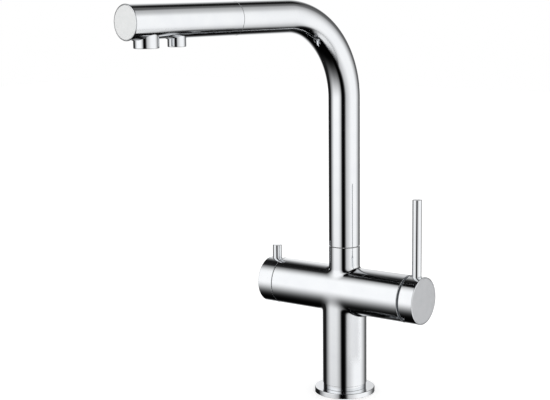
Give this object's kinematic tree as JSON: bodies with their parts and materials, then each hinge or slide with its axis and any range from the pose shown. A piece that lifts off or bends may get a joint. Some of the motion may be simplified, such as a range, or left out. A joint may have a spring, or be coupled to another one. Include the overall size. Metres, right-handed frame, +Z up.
{
  "type": "three way filtered water kitchen tap",
  "caption": "Deck-mounted kitchen tap with a horizontal barrel body, a mixer handle, a filtered water handle with pin levers, and a tall swivel L spout with two outlets.",
  "frame": {"origin": "centre of the base's underside, where the tap stands on the sink or worktop", "axes": "+Z up along the column, +X along the barrel to the mixer handle, -Y to the front, where the spout points when it is straight"},
  "size_m": [0.165, 0.2695, 0.356],
  "materials": {
    "chrome": "polished chrome plate on brass",
    "satin_chrome": "satin chrome plate, faced end discs",
    "brass": "machined brass",
    "steel": "turned stainless steel",
    "rubber": "black moulded rubber",
    "acetal": "white moulded acetal",
    "grey_plastic": "grey moulded plastic",
    "ceramic": "lapped alumina ceramic"
  },
  "bodies": {
    "body": {"base_flange": "chrome", "base_seal": "rubber", "tap_body": "chrome", "spout_bearing_ring": "acetal", "spout_lock_screw": "steel", "cartridge_seal": "rubber", "cartridge_base": "grey_plastic", "ceramic_disc_fixed": "ceramic", "cartridge_housing": "grey_plastic", "cartridge_nut": "brass", "mixer_trim_ring": "grey_plastic", "filter_valve_seal": "rubber", "filter_valve_body": "brass", "filter_disc_fixed": "ceramic"},
    "mixer_rotor": {"ceramic_disc_moving": "ceramic", "cartridge_rotor": "acetal", "stem_pivot_pin": "steel"},
    "mixer_handle": {"mixer_stem": "steel", "mixer_cap": "chrome", "mixer_cap_screw": "steel", "mixer_end_disc": "satin_chrome", "mixer_lever": "chrome"},
    "filter_handle": {"filter_disc_moving": "ceramic", "filter_spindle": "brass", "filter_cap": "chrome", "filter_cap_screw": "steel", "filter_end_disc": "satin_chrome", "filter_lever": "chrome"},
    "spout": {"spout_swivel_sleeve": "brass", "spout_oring_lower": "rubber", "spout_oring_upper": "rubber", "spout_tube": "chrome", "filtered_water_tube": "acetal", "filtered_tube_oring": "rubber", "arm_joint_sleeve": "brass", "outlet_head": "chrome", "outlet_end_disc": "satin_chrome", "aerator_collar": "chrome", "aerator_insert": "grey_plastic", "aerator_washer": "rubber", "filter_nozzle_collar": "chrome", "filter_nozzle_insert": "grey_plastic", "filter_nozzle_washer": "rubber", "filter_nozzle_elbow": "brass"}
  },
  "joints": [
    {"name": "spout_swivel", "type": "hinge", "parent": "body", "child": "spout", "pos_m": [0, 0, 0.1354], "axis": [0, 0, 1], "range_deg": [-61, 79]},
    {"name": "mixer_temperature", "type": "hinge", "parent": "body", "child": "mixer_rotor", "pos_m": [0.051, 0, 0.095], "axis": [1, 0, 0], "range_deg": [-45, 45]},
    {"name": "mixer_flow", "type": "hinge", "parent": "mixer_rotor", "child": "mixer_handle", "pos_m": [0.051, 0, 0.095], "axis": [0, 1, 0], "range_deg": [0, 18]},
    {"name": "filter_valve_turn", "type": "hinge", "parent": "body", "child": "filter_handle", "pos_m": [-0.041, 0, 0.095], "axis": [1, 0, 0], "range_deg": [0, 90]}
  ]
}
